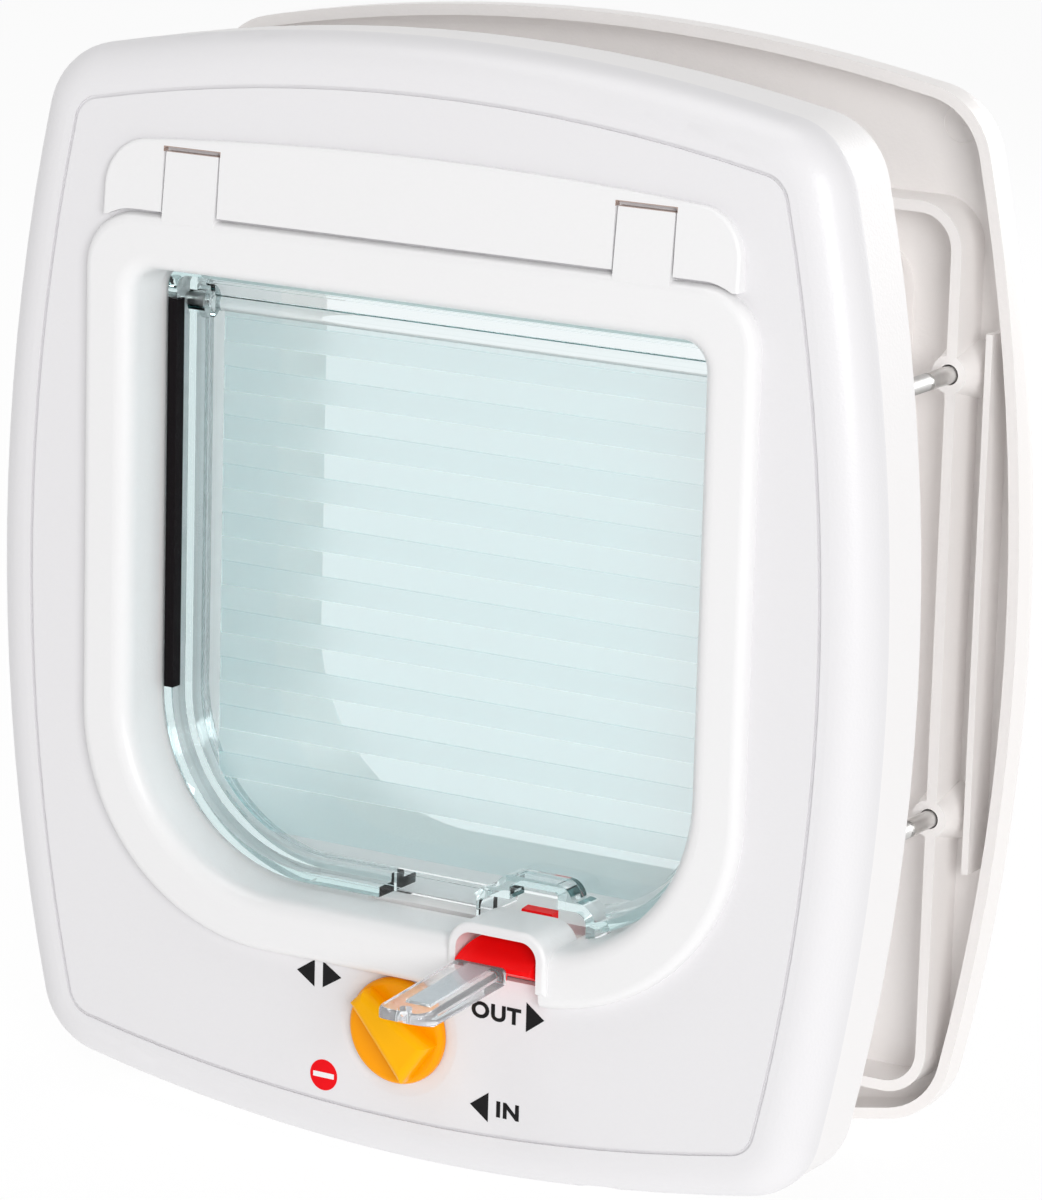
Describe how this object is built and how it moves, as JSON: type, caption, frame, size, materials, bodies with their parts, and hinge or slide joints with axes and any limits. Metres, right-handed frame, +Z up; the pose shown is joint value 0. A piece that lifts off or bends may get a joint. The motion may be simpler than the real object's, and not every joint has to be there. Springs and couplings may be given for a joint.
{
  "type": "cat flap",
  "caption": "White four-way cat flap for a door, with a clear swinging flap, a red latch holding a clear magnet key and an orange selector knob.",
  "frame": {"origin": "centre of the passage, in the plane of the door's inside face", "axes": "+X right as seen from inside the room, +Y into the door and out of it on the outside, +Z up"},
  "size_m": [0.225, 0.1247, 0.252],
  "materials": {
    "white_plastic": "satin",
    "clear_plastic": "gloss",
    "black_foam": "matte",
    "red_plastic": "satin",
    "orange_plastic": "gloss",
    "grey_plastic": "satin",
    "magnet": "matte",
    "steel": "satin",
    "brass": "satin"
  },
  "bodies": {
    "frame": {"inside_frame": "white_plastic", "base_frame": "white_plastic", "hinge_cover": "white_plastic", "flap_surround": "white_plastic", "hinge_pin_left": "steel", "hinge_pin_right": "steel", "latch_pin": "steel", "detent_spring": "steel", "lock_cover": "white_plastic", "lock_cover_screws": "steel", "cover_screws": "steel", "outside_frame": "white_plastic", "frame_screws": "steel", "thread_inserts": "brass"},
    "flap": {"flap_panel": "clear_plastic", "draught_strip_left": "black_foam", "draught_strip_right": "black_foam"},
    "latch_lever": {"latch": "red_plastic", "latch_magnet": "magnet", "key_case": "clear_plastic", "key_magnet": "magnet"},
    "knob": {"selector_knob": "orange_plastic", "selector_disc": "grey_plastic", "selector_screw": "steel"}
  },
  "joints": [
    {"name": "flap_swing", "type": "hinge", "parent": "frame", "child": "flap", "pos_m": [0, -0.0062, 0.06], "axis": [1, 0, 0], "range_deg": [-80, 80]},
    {"name": "latch_rock", "type": "hinge", "parent": "frame", "child": "latch_lever", "pos_m": [0.0273, -0.0255, -0.0735], "axis": [1, 0, 0], "range_deg": [0, 13]},
    {"name": "knob_turn", "type": "hinge", "parent": "frame", "child": "knob", "pos_m": [0, -0.025, -0.094], "axis": [0, 1, 0], "range_deg": [0, 270]}
  ]
}
